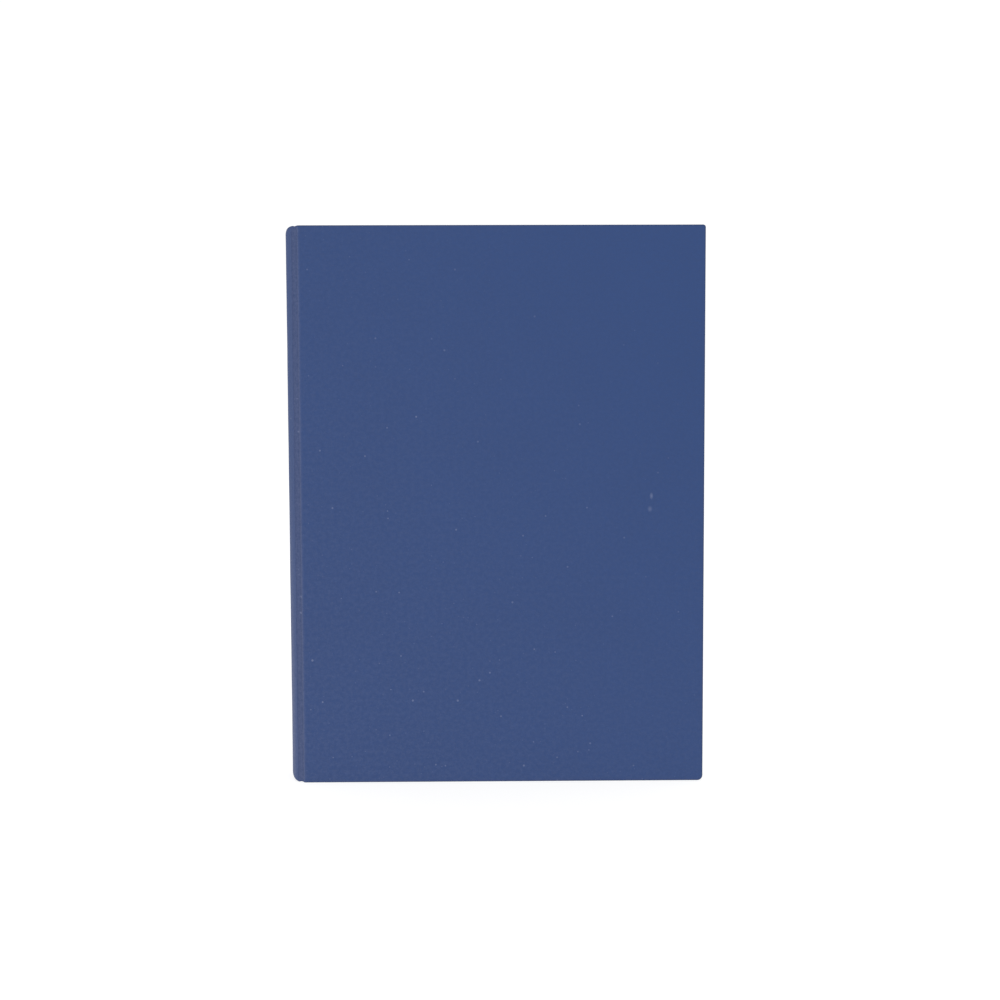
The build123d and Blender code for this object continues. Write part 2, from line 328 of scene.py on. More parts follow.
@dataclass(frozen=True)
class Paper(Finish):
    """Uncoated wood-free paper, machine made: matt, with a faint cloudy look-through and fine fibres."""

    aged: str = "#DDCFA9"
    # real fibres are finer; they are drawn as coarse as they need to show
    fibre_mm: float = 0.6
    cloud_mm: float = 14.0
    # x of the fold and the fore-edge, and z of the tail and the head, of a sheet laid flat
    edge_mm: tuple[float, float, float, float] = (0.0, LEAF_MM, 0.0, 203.0)
    ruled: bool = False
    ink: str = "#6E8FB0"
    # the ruled panel: left, right, low and high
    panel_mm: tuple[float, float, float, float] = (12.0, 138.0, 12.0, 190.0)
    columns_mm: tuple[float, ...] = (15, 34, 48, 62, 76, 87, 98, 109)
    heading_mm: float = 16
    totals_mm: float = 24
    row_mm: float = 8.0
    rule_mm: float = 0.3
    frame_mm: float = 0.5

    def rules(self, tree: bpy.types.NodeTree, axes: Any) -> Any:
        """Printed ruling of a flight log: rows, columns, a heading band and a totals band.

        Args:
            tree: Node tree to add to.
            axes: Node that gives the laid-out position.

        Returns:
            Node that is 1 on ink and 0 on bare paper.
        """
        x, y = axes.outputs["X"], axes.outputs["Y"]
        left, right, low, high = self.panel_mm
        under_heading = high - self.heading_mm
        lines = [(axis, place, self.frame_mm)
                 for axis, place in ((x, left), (x, right), (y, low), (y, high), (y, under_heading))]
        lines += [(y, low + self.totals_mm, 0.45)]
        lines += [(x, left + step, self.rule_mm) for step in self.columns_mm]
        ink: Any = None
        for axis, place, width in lines:
            line = add(tree, "Math", {0: distance(tree, axis, place), 1: width / 2}, operation="LESS_THAN")
            ink = line if ink is None else add(tree, "Math", {0: ink, 1: line}, operation="MAXIMUM")
        step = add(tree, "Math", {0: y, 1: self.row_mm}, operation="MODULO")
        rows = add(tree, "Math", {0: step, 1: self.rule_mm}, operation="LESS_THAN")
        below = add(tree, "Math", {0: y, 1: under_heading}, operation="LESS_THAN")
        rows = add(tree, "Math", {0: rows, 1: below}, operation="MULTIPLY")
        ink = add(tree, "Math", {0: ink, 1: rows}, operation="MAXIMUM")
        half = self.frame_mm / 2
        for axis, start, stop in ((x, left - half, right + half), (y, low - half, high + half)):
            for value, test in ((start, "GREATER_THAN"), (stop, "LESS_THAN")):
                within = add(tree, "Math", {0: axis, 1: value}, operation=test)
                ink = add(tree, "Math", {0: ink, 1: within}, operation="MULTIPLY")
        return ink

    def pattern(self, tree: bpy.types.NodeTree, shader: Any) -> None:
        """Fibres, cloudiness, darker edges, and the printed rules where there are any.

        Args:
            tree: Node tree of the material.
            shader: Its shader node.
        """
        laid = add(tree, "Attribute", attribute_name=LAID).outputs["Vector"]
        axes = add(tree, "SeparateXYZ", {0: laid})
        fibre = add(tree, "TexNoise", {"Vector": laid, "Scale": 1 / self.fibre_mm, "Detail": 4.0})
        cloud = add(tree, "TexNoise", {"Vector": laid, "Scale": 1 / self.cloud_mm, "Detail": 3.0})
        leaf = add(tree, "TexWhiteNoise", {"W": axes.outputs["Z"]}, noise_dimensions="1D")
        near: Any = None
        for axis, place in zip(("X", "X", "Y", "Y"), self.edge_mm):
            off = distance(tree, axes.outputs[axis], place)
            near = off if near is None else add(tree, "Math", {0: near, 1: off}, operation="MINIMUM")
        edge = add(tree, "MapRange", {0: near, 1: 6.0, 2: 0.0, 3: 0.05, 4: 0.5})
        mottle = add(tree, "MapRange", {0: cloud, 1: 0.3, 2: 0.7, 3: 0.6, 4: 1.3})
        aged = add(tree, "Math", {0: edge, 1: mottle}, operation="MULTIPLY", use_clamp=True)
        paper = add(tree, "Mix", {"Factor": aged, 6: linear(self.colour), 7: linear(self.aged)},
                    data_type="RGBA").outputs[2]
        tone = add(tree, "MapRange", {0: fibre, 1: 0.3, 2: 0.7, 3: 0.97, 4: 1.02})
        shade = add(tree, "MapRange", {0: leaf, 1: 0.0, 2: 1.0, 3: 0.93, 4: 1.0})
        tone = add(tree, "Math", {0: tone, 1: shade}, operation="MULTIPLY")
        colour = add(tree, "VectorMath", {0: paper, "Scale": tone}, operation="SCALE")
        if self.ruled:
            ink = add(tree, "Math", {0: self.rules(tree, axes), 1: 0.8}, operation="MULTIPLY")
            colour = add(tree, "Mix", {"Factor": ink, 6: colour, 7: linear(self.ink)},
                         data_type="RGBA").outputs[2]
        bump = add(tree, "Bump", {"Height": fibre, "Strength": 0.15, "Distance": 0.03 * MM})
        feed(tree, shader, {"Base Color": colour, "Normal": bump})


@dataclass(frozen=True)
class Pulp(Finish):
    """Board, card or kraft made from beaten pulp: flecked and slightly rough."""

    fleck: str = "#6A655C"
    fleck_mm: float = 0.9

    def pattern(self, tree: bpy.types.NodeTree, shader: Any) -> None:
        """Flecks of darker fibre and a rough face.

        Args:
            tree: Node tree of the material.
            shader: Its shader node.
        """
        place = add(tree, "TexCoord").outputs["Object"]
        scale = 1 / (self.fleck_mm * MM)
        fleck = add(tree, "TexNoise", {"Vector": place, "Scale": scale, "Detail": 5.0, "Roughness": 0.7})
        mask = add(tree, "MapRange", {0: fleck, 1: 0.5, 2: 0.72, 3: 0.0, 4: 0.6})
        colour = add(tree, "Mix", {"Factor": mask, 6: linear(self.colour), 7: linear(self.fleck)},
                     data_type="RGBA").outputs[2]
        bump = add(tree, "Bump", {"Height": fleck, "Strength": 0.4, "Distance": 0.05 * MM})
        feed(tree, shader, {"Base Color": colour, "Normal": bump})


@dataclass(frozen=True)
class OpenWeave(Finish):
    """Starched cotton gauze or twisted linen thread: threads that stand up with dark gaps between."""

    gap: str = "#A39A86"
    pitch_mm: float = 1.0

    def pattern(self, tree: bpy.types.NodeTree, shader: Any) -> None:
        """A grid of threads across the book's height and round its back.

        Args:
            tree: Node tree of the material.
            shader: Its shader node.
        """
        place = add(tree, "TexCoord").outputs["Object"]
        scale = WAVE_TURN / (self.pitch_mm * MM)
        bands = [add(tree, "TexWave", {"Vector": place, "Scale": scale, "Distortion": 0.8},
                     bands_direction=d).outputs["Fac"] for d in ("Z", "DIAGONAL")]
        thread = add(tree, "Math", {0: bands[0], 1: bands[1]}, operation="MAXIMUM")
        colour = add(tree, "Mix", {"Factor": thread, 6: linear(self.gap), 7: linear(self.colour)},
                     data_type="RGBA").outputs[2]
        bump = add(tree, "Bump", {"Height": thread, "Strength": 0.6, "Distance": 0.1 * MM})
        feed(tree, shader, {"Base Color": colour, "Normal": bump})


@dataclass(frozen=True)
class HeadbandSilk(Finish):
    """Mercerised cotton wound over a cord: close shiny turns in two colours."""

    second: str = "#E7E2D3"
    stripe_mm: float = 1.5
    turn_mm: float = 0.5

    def pattern(self, tree: bpy.types.NodeTree, shader: Any) -> None:
        """Stripes of two colours along the bead, and single turns of thread with painted shade between them.

        Args:
            tree: Node tree of the material.
            shader: Its shader node.
        """
        laid = add(tree, "Attribute", attribute_name=LAID).outputs["Vector"]
        along = add(tree, "SeparateXYZ", {0: laid})
        # 60 mm is a whole number of stripe pairs, added so that the remainder is of a positive length
        cycle = add(tree, "Math", {0: along, 1: 60.0}, operation="ADD")
        cycle = add(tree, "Math", {0: cycle, 1: 2 * self.stripe_mm}, operation="MODULO")
        stripe = add(tree, "Math", {0: cycle, 1: self.stripe_mm}, operation="LESS_THAN")
        turns = add(tree, "TexWave", {"Vector": laid, "Scale": WAVE_TURN / self.turn_mm},
                    bands_direction="X").outputs["Fac"]
        colour = add(tree, "Mix", {"Factor": stripe, 6: linear(self.colour), 7: linear(self.second)},
                     data_type="RGBA").outputs[2]
        # painted shade: each turn of thread is drawn darker towards the groove beside the next
        tone = add(tree, "MapRange", {0: turns, 1: 0.0, 2: 1.0, 3: 0.72, 4: 1.0})
        colour = add(tree, "VectorMath", {0: colour, "Scale": tone}, operation="SCALE")
        feed(tree, shader, {"Base Color": colour})


CLOTH = BookCloth("Book_cloth_blue_acrylic_coated", "#284273", roughness=0.74, specular=0.35,
                  scuffs_mm=((131.7, 108.4, 0.75, 1.5, 0.18), (131.2, 103.5, 1.1, 1.4, 0.12)))
LEAF_PAPER = Paper("Ledger_paper_cream_ruled", "#F3EEDD", roughness=0.85, specular=0.3, ruled=True)
ENDPAPER = Paper("Endpaper_offwhite_uncoated", "#EFEAE0", roughness=0.85, specular=0.3, fibre_mm=0.8)
MILLBOARD = Pulp("Millboard_grey_pulp", "#8E887C", roughness=0.9)
SPINE_CARD = Pulp("Spine_card_pulp", "#A79F8B", roughness=0.85)
KRAFT = Pulp("Kraft_paper_brown", "#A5835A", roughness=0.8, fleck="#7E603D", fleck_mm=0.5)
MULL = OpenWeave("Mull_gauze_starched", "#E6E0D0", roughness=0.9)
THREAD = OpenWeave("Linen_thread_waxed", "#EEE8D6", roughness=0.5, pitch_mm=0.35)
SILK = HeadbandSilk("Headband_cotton_wound", "#2F4576", roughness=0.45)


# ---- meshes ----
@dataclass
class Surface:
    """Points and faces gathered in millimetres, made into one mesh at the end."""

    name: str
    points: list[Point] = field(default_factory=list)
    laid: list[Point] = field(default_factory=list)
    wear_and_shading: list[float] = field(default_factory=list)
    faces: list[tuple[int, ...]] = field(default_factory=list)

    def point(self, place: Sequence[float], laid: Sequence[float], wear_and_shading: float = 0.0) -> int:
        """Adds a point.

        Args:
            place: Where it is, in millimetres.
            laid: Where it is on the piece laid flat.
            wear_and_shading: Above 0 how far it is worn, with painted light; below 0 how much painted shade
                it carries.

        Returns:
            Its number.
        """
        self.points.append(tuple(float(v) for v in place))
        self.laid.append(tuple(float(v) for v in laid))
        self.wear_and_shading.append(float(wear_and_shading))
        return len(self.points) - 1

    def strip(self, rows: Sequence[Sequence[int]], closed: bool = False) -> None:
        """Joins rows of points with quads.

        Args:
            rows: Rows of point numbers, all as long as each other.
            closed: Whether each row runs back to its own start.
        """
        count = len(rows[0])
        for low, high in zip(rows, rows[1:]):
            for i in range(count if closed else count - 1):
                j = (i + 1) % count
                self.faces.append((low[i], low[j], high[j], high[i]))

    def cap(self, row: Sequence[int], turned: bool) -> None:
        """Closes one end of a band with quads.

        Args:
            row: Point numbers, out along one face of the band and back along the other.
            turned: Whether the quads face the other way.
        """
        count = len(row) // 2
        for i in range(count - 1):
            quad = (row[i], row[i + 1], row[2 * count - 2 - i], row[2 * count - 1 - i])
            self.faces.append(quad[::-1] if turned else quad)

    def finish(self, flip: bool | None = None, thickness: float = 0.0,
               sharp_deg: float = 40.0) -> bpy.types.Object:
        """Builds the object, merged, thickened inwards and smooth shaded.

        Args:
            flip: Whether the faces were drawn inside out, or None for a closed form, which works it out.
            thickness: Sheet thickness in millimetres, or 0 for a form that is closed already.
            sharp_deg: Edges that turn more than this stay sharp.

        Returns:
            The new object, in metres, linked to the scene.
        """
        mesh = bpy.data.meshes.new(self.name)
        mesh.from_pydata([tuple(v * MM for v in p) for p in self.points], [], self.faces)
        mesh.attributes.new(LAID, "FLOAT_VECTOR", "POINT").data.foreach_set(
            "vector", np.array(self.laid, np.float32).ravel())
        mesh.attributes.new(WEAR_AND_SHADING, "FLOAT", "POINT").data.foreach_set("value", np.array(self.wear_and_shading, np.float32))
        obj = bpy.data.objects.new(self.name, mesh)
        bpy.context.scene.collection.objects.link(obj)
        self.clean(mesh, flip)
        if thickness:
            solid = obj.modifiers.new("thickness", "SOLIDIFY")
            solid.thickness = thickness * MM
            solid.offset = -1.0
            graph = bpy.context.evaluated_depsgraph_get()
            obj.data = bpy.data.meshes.new_from_object(obj.evaluated_get(graph))
            obj.data.name = self.name
            obj.modifiers.clear()
        self.shade(obj.data, sharp_deg)
        return obj

    @staticmethod
    def clean(mesh: bpy.types.Mesh, flip: bool | None) -> None:
        """Merges points that coincide and drops faces without area.

        Args:
            mesh: Mesh to clean.
            flip: Whether the faces were drawn inside out, or None to turn them all outwards.
        """
        form = bmesh.new()
        form.from_mesh(mesh)
        bmesh.ops.remove_doubles(form, verts=form.verts, dist=0.002 * MM)
        bmesh.ops.dissolve_degenerate(form, edges=form.edges, dist=0.001 * MM)
        if flip is None:
            bmesh.ops.recalc_face_normals(form, faces=form.faces)
        elif flip:
            bmesh.ops.reverse_faces(form, faces=form.faces)
        form.to_mesh(mesh)
        form.free()

    @staticmethod
    def shade(mesh: bpy.types.Mesh, sharp_deg: float) -> None:
        """Shades a mesh smooth apart from its sharp edges.

        Args:
            mesh: Mesh to shade.
            sharp_deg: Edges that turn more than this stay sharp.
        """
        form = bmesh.new()
        form.from_mesh(mesh)
        for face in form.faces:
            face.smooth = True
        for edge in form.edges:
            edge.smooth = edge.is_manifold and edge.calc_face_angle(0.0) < math.radians(sharp_deg)
        form.to_mesh(mesh)
        form.free()


def dress(obj: bpy.types.Object, finish: Finish) -> bpy.types.Object:
    """Gives an object its finish.

    Args:
        obj: Object to dress.
        finish: Its material.

    Returns:
        The same object.
    """
    obj.data.materials.clear()
    obj.data.materials.append(finish.build())
    return obj


def bend_at_joint(obj: bpy.types.Object, side: Side, at_spine: Point, at_cover: Point) -> None:
    """Bakes a piece's transform into its mesh; it is not bent between the spine and the cover.

    Args:
        obj: Piece that crosses the joint.
        side: Half of the book that it belongs to; not used.
        at_spine: Place, in metres, where it meets the spine; not used.
        at_cover: Place, in metres, where it meets the cover; not used.
    """
    ends = [("spine_and_backs", at_spine), (f"{side.prefix}_cover", at_cover)]
    if side is Side.FRONT:
        ends.reverse()
    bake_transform(obj)


def log_piece(obj: bpy.types.Object) -> None:
    """Reports one finished piece."""
    LOG.info("%s: %d faces", obj.name, len(obj.data.polygons))


# ---- the book's shared measures ----
@dataclass(frozen=True)
class SpineArc:
    """The arc of the rounded spine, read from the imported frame, seen from the head."""

    joint_width: float = 2.6

    @property
    def hinge_x(self) -> float:
        """x of the cover's spine-side edge."""
        return box_mm("back_cover_cloth")[0][0]

    @property
    def shoulder(self) -> tuple[float, float]:
        """x and y of the shoulder on the back side."""
        return self.hinge_x - self.joint_width, box_mm("spine_cloth")[1][1]

    @property
    def apex_x(self) -> float:
        """x of the outermost line of the spine."""
        return box_mm("spine_cloth")[0][0]

    @property
    def radius(self) -> float:
        """Radius of the spine's outside.

        Returns:
            The radius, from the chord at the shoulders and how far the spine bulges past it.
        """
        x, y = self.shoulder
        bulge = x - self.apex_x
        return (y * y + bulge * bulge) / (2 * bulge)

    @property
    def centre_x(self) -> float:
        """x of the arc's centre; its y is 0."""
        return self.apex_x + self.radius


@dataclass
class Column:
    """One line of the case cloth that runs from tail to head.

    At each end the cloth turns over: drop is how far that edge lies in from the book's end, depth how
    far the turn-in lies below the face, and the rolls are how high and how deep the rounding is.
    """

    x: float
    y: float
    normal: Flat
    depth: float
    drop: float
    roll_z: float
    roll_in: float
    laid: float
    wear_and_shading: float


@dataclass
class CaseCloth:
    """Half of the case's covering: half the spine, one joint and one cover, with its turn-ins."""

    side: Side
    arc: SpineArc
    thickness: float = 0.3
    turn_in: float = 15.0
    frame_mm: float = 3.0
    lip_mm: float = 0.45
    edge_mm: float = 0.3
    round_mm: float = 0.6
    head_radius: float = 1.0
    tail_radius: float = 2.0
    rows: int = 44
    spine_columns: int = 12
    joint_columns: int = 8
    corner_steps: int = 8
    # spacing of the slow waves in glued cloth, and their height
    waves_mm: tuple[float, ...] = (3.1, 5.7, 11.0)
    wave_height: float = 0.035
    # painted light: how much lighter the spine is drawn towards the tail
    spine_light_to_tail: float = 0.38

    @property
    def low(self) -> Point:
        """Lowest corner of the cover on the +Y side."""
        return box_mm("back_cover_cloth")[0]

    @property
    def high(self) -> Point:
        """Highest corner of the cover on the +Y side."""
        return box_mm("back_cover_cloth")[1]

    def over_spine(self) -> list[Column]:
        """Lines over half of the rounded spine.

        Returns:
            Lines from the middle of the spine to its shoulder.
        """
        arc = self.arc
        half_angle = math.asin(arc.shoulder[1] / arc.radius)
        made = []
        for i in range(self.spine_columns + 1):
            share = i / self.spine_columns
            angle = half_angle * share
            roll = 1 - ease(share)
            # wear: slight painted shade on the middle of the spine, turning to slight painted light at the
            # shoulder
            made.append(Column(
                x=arc.centre_x - arc.radius * math.cos(angle), y=arc.radius * math.sin(angle),
                normal=(-math.cos(angle), math.sin(angle)), depth=1.5, drop=0.4 * roll + 0.1,
                roll_z=0.7 + 2.1 * roll, roll_in=0.7 + 0.5 * roll,
                laid=-arc.joint_width - arc.radius * (half_angle - angle), wear_and_shading=-0.05 + 0.16 * share ** 3))
        return made

    def over_joint(self, start: Flat, lip: float) -> list[Column]:
        """Lines across the joint, which dips between the spine's shoulder and the board.

        Args:
            start: Direction that the spine's last line faces.
            lip: y where the cloth meets the board.

        Returns:
            Lines from the shoulder to the board.
        """
        arc = self.arc
        shoulder_x, shoulder_y = arc.shoulder
        made = []
        for i in range(1, self.joint_columns):
            share = i / self.joint_columns
            wave = math.sin(math.pi * share)
            turn = ease(share * 2)
            nx, ny = start[0] * (1 - turn), start[1] * (1 - turn) + turn
            length = math.hypot(nx, ny)
            # wear 0.28 is painted light that lifts the joint out of its shade
            made.append(Column(
                x=shoulder_x + (arc.joint_width - self.edge_mm - self.lip_mm) * share,
                y=shoulder_y + (lip - shoulder_y) * share - 0.3 * wave, normal=(nx / length, ny / length),
                depth=0.72, drop=0.1 + 0.08 * wave, roll_z=0.4, roll_in=0.33,
                laid=-arc.joint_width * (1 - share), wear_and_shading=0.28))
        return made

    def over_cover(self, lip: float) -> list[Column]:
        """Lines up the board's edge, round it and over the cover.

        Args:
            lip: y where the cloth meets the board.

        Returns:
            Lines from the board's edge to near the fore-edge.
        """
        outer, inner = self.high[1], self.low[1]
        hinge, radius = self.arc.hinge_x - self.edge_mm, self.round_mm
        # x and laid-out place from the hinge, y, and wear, here a painted highlight along the board's hinge
        # edge, which is also worn
        places = [(-self.lip_mm, -self.lip_mm, lip + 0.03, 0.25), (-0.3, -0.3, lip + 0.4, 0.3),
                  (0.0, 0.0, outer - radius, 0.34)]
        # the painted highlight fades round the board's edge
        for turn_deg, wear_and_shading in ((25, 0.34), (50, 0.3), (72, 0.2), (90, 0.08)):
            turn = math.radians(turn_deg)
            y = outer - radius * (1 - math.sin(turn))
            places.append((radius * (1 - math.cos(turn)), radius * turn, y, wear_and_shading))
        made = [Column(hinge + dx, y, (0.0, 1.0), y - inner, 0.0, radius, radius, laid, wear_and_shading)
                for dx, laid, y, wear_and_shading in places]
        fore = self.high[0] - self.frame_mm
        for x in (hinge + 1.2, hinge + 2.5, *np.linspace(hinge + 6, fore, 9)):
            made.append(Column(float(x), outer, (0.0, 1.0), outer - inner, 0.0, radius, radius,
                               float(x) - hinge + 0.34, 0.0))
        return made

    def columns(self) -> list[Column]:
        """Lines of cloth on the +Y side.

        Returns:
            Lines from the middle of the spine to near the fore-edge.
        """
        spine = self.over_spine()
        lip = self.high[1] - 1.3
        return [*spine, *self.over_joint(spine[-1].normal, lip), *self.over_cover(lip)]

    def profile(self, column: Column) -> list[Point]:
        """Way of the cloth round an edge.

        Args:
            column: Line of cloth that ends at the edge.

        Returns:
            Distance in from the edge, depth below the face, and wear, below 0 painted shade on the rounding,
            from the face to the turn-in's end.
        """
        depth, roll_z, roll_in = column.depth, column.roll_z, column.roll_in
        # wear below 0 on the rounding is painted shade where the edge turns away
        steps = [(self.frame_mm, 0.0, 0.0), ((self.frame_mm + roll_z) / 2, 0.0, 0.0), (roll_z, 0.0, -0.05)]
        for turn_deg in (22, 45, 67, 90):
            turn = math.radians(turn_deg)
            steps.append((roll_z * (1 - math.sin(turn)), roll_in * (1 - math.cos(turn)), -0.35))
        inside = min(0.3, (depth - roll_in) * 0.8)
        steps.append((0.0, max(roll_in, depth - inside), -0.2))
        for turn_deg in (45, 90):
            turn = math.radians(turn_deg)
            steps.append((inside * (1 - math.cos(turn)), depth - inside * (1 - math.sin(turn)), 0.1))
        return steps + [(inset, depth, 0.0) for inset in (1.2, self.frame_mm, 8.0, self.turn_in)]

    def wobble(self, column: Column, z: float, ripple: Sequence[float]) -> float:
        """Slight unevenness of glued cloth over the spine and the joint.

        Args:
            column: Line of cloth.
            z: Height on it.
            ripple: Where each wave starts.

        Returns:
            How far the cloth lies out from its even face.
        """
        reach = ease(-column.laid / 1.5)
        edge = ease(z / 12) * ease((self.high[2] - z) / 12)
        waves = sum(math.sin(z / period + begin + column.laid * 0.5)
                    for period, begin in zip(self.waves_mm, ripple))
        return -self.wave_height * (1 + waves / 3) * reach * edge

    def rub_and_light(self, column: Column, z: float) -> float:
        """Wear at a place, with painted light and painted shade; the spine is drawn lighter towards the tail
        as painted light.

        Args:
            column: Line of cloth.
            z: Height on it.

        Returns:
            The wear there, with its painted light and shade.
        """
        top = self.high[2]
        low_down = ease((0.65 * top - z) / (0.5 * top))
        return column.wear_and_shading + self.spine_light_to_tail * low_down * ease((-column.laid - self.arc.joint_width) / 4)

    def at_end(self, column: Column, at_head: bool, inset: float, depth: float,
               run: float) -> tuple[Point, Flat]:
        """Place where a line of cloth turns over at the head or the tail.

        Args:
            column: Line of cloth.
            at_head: Whether it is the head.
            inset: Distance in from the edge.
            depth: Depth below the face.
            run: Way along the cloth.

        Returns:
            The place and the laid-out place.
        """
        top = self.high[2]
        x = column.x - column.normal[0] * depth
        rise = column.drop + inset
        if depth < column.roll_in + 1e-6:
            rise = column.drop + inset * (self.frame_mm - column.drop) / self.frame_mm
        if inset > self.frame_mm:
            x = min(x, self.high[0] - inset)
        place = (x, column.y - column.normal[1] * depth, top - rise if at_head else rise)
        return place, (column.laid, top + run if at_head else -run)

    def at_corner(self, angle: float, at_head: bool, inset: float, depth: float,
                  run: float) -> tuple[Point, Flat]:
        """Place round a corner of the cover.

        Args:
            angle: Way round the corner, 0 at the head or the tail.
            at_head: Whether it is the head.
            inset: Distance in from the edge.
            depth: Depth below the face.
            run: Way along the cloth.

        Returns:
            The place and the laid-out place.
        """
        width, outer, top = self.high
        radius = self.head_radius if at_head else self.tail_radius
        bend = max(radius - inset, 0.0)
        hub = max(radius, inset)
        rise = hub - bend * math.cos(angle)
        up = run * math.cos(angle)
        place = (width - hub + bend * math.sin(angle), outer - depth, top - rise if at_head else rise)
        return place, (width - self.arc.hinge_x + run * math.sin(angle), top + up if at_head else -up)

    def at_fore(self, z: float, inset: float, depth: float, run: float) -> tuple[Point, Flat]:
        """Place round the fore-edge.

        Args:
            z: Height on it.
            inset: Distance in from the edge.
            depth: Depth below the face.
            run: Way along the cloth.

        Returns:
            The place and the laid-out place.
        """
        width, outer, top = self.high
        place = (width - inset, outer - depth, min(max(z, inset), top - inset))
        return place, (width - self.arc.hinge_x + run, z)

    def ring(self, surface: Surface, column: Column, way: Way) -> list[int]:
        """Adds one line of points round the edge, from the face to the end of the turn-in.

        Args:
            surface: Mesh to add to.
            column: Line of cloth whose profile it follows.
            way: Gives the place and the laid-out place from the inset, the depth and the run.

        Returns:
            Their numbers.
        """
        sign = self.side.value
        numbers = []
        run = -self.frame_mm
        last = (self.frame_mm, 0.0)
        for inset, depth, wear_and_shading in self.profile(column):
            run += math.hypot(inset - last[0], depth - last[1])
            last = (inset, depth)
            (x, y, z), (u, v) = way(inset, depth, run)
            # rubbing and painted light from the line, plus the profile's painted shade
            rub_and_shading = self.rub_and_light(column, z) * (depth < 1) + wear_and_shading
            numbers.append(surface.point((x, sign * y, z), (u, v, CLOTH_DEPTH_MM * sign), rub_and_shading))
        return numbers

    def end_rings(self, surface: Surface, columns: Sequence[Column], at_head: bool) -> list[list[int]]:
        """Adds the turned edge at the head or the tail, and the corner after it.

        Args:
            surface: Mesh to add to.
            columns: Lines of cloth.
            at_head: Whether it is the head.

        Returns:
            Its rings, from the middle of the spine to the fore-edge.
        """
        rings = [self.ring(surface, column, partial(self.at_end, column, at_head)) for column in columns]
        for q in range(self.corner_steps + 1):
            angle = math.radians(90 * q / self.corner_steps)
            rings.append(self.ring(surface, columns[-1], partial(self.at_corner, angle, at_head)))
        return rings

    def build(self) -> bpy.types.Object:
        """Draws the cloth on the +Y side and mirrors it for the front.

        Returns:
            The cloth of this half.
        """
        sign = self.side.value
        columns = self.columns()
        surface = Surface(f"{self.side.prefix}_case_cloth")
        rng = random.Random(11 + sign)
        ripple = [rng.uniform(0, 2 * math.pi) for _ in self.waves_mm]
        heights = [float(z) for z in np.linspace(self.frame_mm, self.high[2] - self.frame_mm, self.rows)]
        tail = self.end_rings(surface, columns, at_head=False)
        fore = [self.ring(surface, columns[-1], partial(self.at_fore, z)) for z in heights[1:-1]]
        head = self.end_rings(surface, columns, at_head=True)
        surface.strip([*tail, *fore, *head[::-1]])
        grid = []
        for z in heights:
            row = []
            for column in columns:
                off = self.wobble(column, z, ripple)
                place = (column.x + column.normal[0] * off, sign * (column.y + column.normal[1] * off), z)
                laid = (column.laid, z, CLOTH_DEPTH_MM * sign)
                row.append(surface.point(place, laid, self.rub_and_light(column, z)))
            grid.append(row)
        surface.strip(grid)
        obj = surface.finish(flip=sign > 0, thickness=self.thickness)
        dress(obj, CLOTH)
        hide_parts(f"{self.side.prefix}_cover_cloth", f"{self.side.prefix}_joint_cloth", "spine_cloth")
        bend_at_joint(obj, self.side, (self.arc.shoulder[0] * MM, 0, 0),
                      ((self.arc.hinge_x - self.edge_mm - self.lip_mm) * MM, 0, 0))
        return obj


@dataclass
class Section:
    """One sewn section: four sheets folded together, which make eight leaves."""

    number: int
    sheets: int = 4
    air: float = 0.2
    bend_mm: float = 14.0
    # how unevenly the sheets are cut at head and tail, and at the fore-edge
    ragged_mm: float = 0.12
    trim_mm: float = 0.2

    def fore_edge(self, y: float) -> float:
        """Trimmed fore-edge of the whole block, hollow to match the rounded back.

        Args:
            y: Place across the block.

        Returns:
            x of the fore-edge there.
        """
        boxes = [box_mm(f"section_{number:02d}_leaves") for number in range(1, SECTIONS // 2 + 1)]
        pairs = sorted((abs(low[1]), high[0]) for low, high in boxes)
        return float(np.interp(abs(y), [pair[0] for pair in pairs], [pair[1] for pair in pairs]))

    def face(self, top: float, bottom: float, fold: float, hinge_x: float,
             trims: Sequence[float]) -> list[Point]:
        """One face of a folded sheet, from one fore-edge round the fold to the other.

        Args:
            top: y of its upper half.
            bottom: y of its lower half.
            fold: x of the fold.
            hinge_x: x where the leaves come free.
            trims: x of the fore-edge of each half.

        Returns:
            x, y and the x of the fore-edge, point by point.
        """
        radius = (top - bottom) / 2
        middle = (top + bottom) / 2
        bending = np.linspace(hinge_x - 0.5, hinge_x + self.bend_mm + 1, 16)
        upper, lower = ([(float(x), y, trim) for x in (*bending, hinge_x + 60, trim)]
                        for y, trim in zip((top, bottom), trims))
        bend = [(fold + radius - radius * math.sin(t), middle + radius * math.cos(t), trims[0])
                for t in np.linspace(0, math.pi, 7)]
        return [*upper[::-1], *bend, *lower]

    def build(self) -> bpy.types.Object:
        """Draws the folded sheets.

        Returns:
            The section.
        """
        name = f"section_{self.number:02d}"
        (fold_x, y_low, z_low), (hinge_x, y_high, z_high) = box_mm(name + "_back")
        pitch = (y_high - y_low) / (2 * self.sheets)
        thick = pitch * (1 - self.air)
        rng = random.Random(100 + self.number)
        surface = Surface(name + "_pages")
        for sheet in range(self.sheets):
            low, high = y_low + sheet * pitch, y_high - sheet * pitch
            tail = z_low + rng.uniform(0.0, self.ragged_mm)
            head = z_high - rng.uniform(0.0, self.ragged_mm)
            trims = [self.fore_edge(y) - rng.uniform(0.0, self.trim_mm) for y in (high, low)]
            fold = fold_x + sheet * pitch
            outer = self.face(high, low, fold, hinge_x, trims)
            inner = self.face(high - thick, low + thick, fold + thick, hinge_x, trims)
            # a whole number as the laid-out depth gives each leaf its own tone
            rows = [[surface.point((x, y, z), (LEAF_MM - (trim - x), z - z_low,
                                               round(y * 40 + self.number * 7.0)))
                     for x, y, trim in outer + inner[::-1]] for z in (tail, head)]
            surface.strip(rows, closed=True)
            for row, turned in zip(rows, (False, True)):
                surface.cap(row, turned)
        obj = surface.finish(sharp_deg=30)
        dress(obj, LEAF_PAPER)
        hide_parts(name + "_back", name + "_leaves")
        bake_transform(obj)
        return obj


